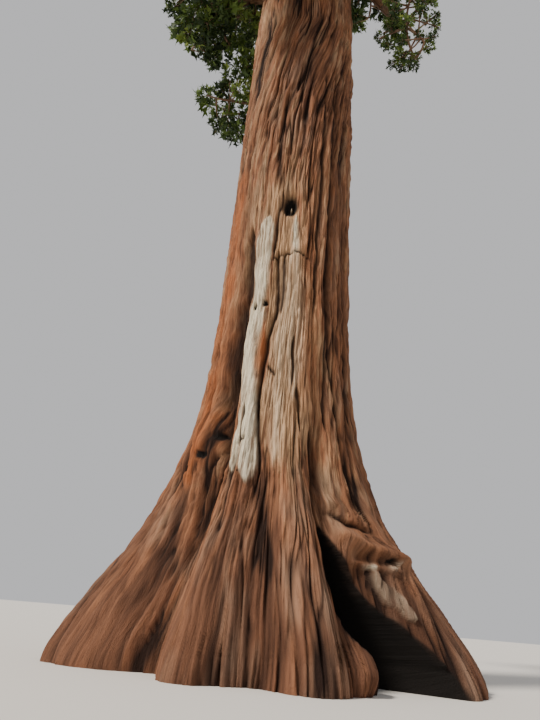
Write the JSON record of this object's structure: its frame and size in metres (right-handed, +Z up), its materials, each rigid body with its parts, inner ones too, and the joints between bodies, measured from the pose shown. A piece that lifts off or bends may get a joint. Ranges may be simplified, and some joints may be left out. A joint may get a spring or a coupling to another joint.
{
  "type": "giant sequoia tree",
  "caption": "Tall conifer with a broad fluted root flare, a fire-scar hollow at its foot, a long bare trunk and an open crown of upswept boughs with rounded foliage clumps.",
  "frame": {"origin": "on the trunk's upright axis at ground level, in the flat cut under the trunk", "axes": "+Z up along the trunk; -Y faces the camera of the picture; +X is to the right in it, the side of the hollow"},
  "size_m": [8.7163, 9.1041, 40],
  "materials": {
    "bark": "thick, deeply furrowed fibrous bark, orange-brown to grey, charred black in the hollow",
    "foliage": "dull green scale-leaved sprays"
  },
  "bodies": {
    "root": {"bough_01": "bark", "bough_02": "bark", "bough_03": "bark", "bough_04": "bark", "bough_05": "bark", "bough_06": "bark", "bough_07": "bark", "bough_08": "bark", "bough_09": "bark", "bough_10": "bark", "bough_11": "bark", "bough_12": "bark", "bough_13": "bark", "bough_14": "bark", "bough_15": "bark", "bough_16": "bark", "bough_17": "bark", "bough_18": "bark", "bough_19": "bark", "bough_20": "bark", "bough_21": "bark", "bough_22": "bark", "bough_23": "bark", "bough_24": "bark", "bough_25": "bark", "bough_26": "bark", "bough_27": "bark", "bough_28": "bark", "bough_29": "bark", "foliage_01": "foliage", "foliage_02": "foliage", "foliage_03": "foliage", "foliage_04": "foliage", "foliage_05": "foliage", "foliage_06": "foliage", "foliage_07": "foliage", "foliage_08": "foliage", "foliage_09": "foliage", "foliage_10": "foliage", "foliage_11": "foliage", "foliage_12": "foliage", "foliage_13": "foliage", "foliage_14": "foliage", "foliage_15": "foliage", "foliage_16": "foliage", "foliage_17": "foliage", "foliage_18": "foliage", "foliage_19": "foliage", "foliage_20": "foliage", "foliage_21": "foliage", "foliage_22": "foliage", "foliage_23": "foliage", "foliage_24": "foliage", "foliage_25": "foliage", "foliage_26": "foliage", "foliage_27": "foliage", "foliage_28": "foliage", "foliage_29": "foliage", "foliage_top": "foliage", "trunk": "bark"}
  },
  "joints": []
}
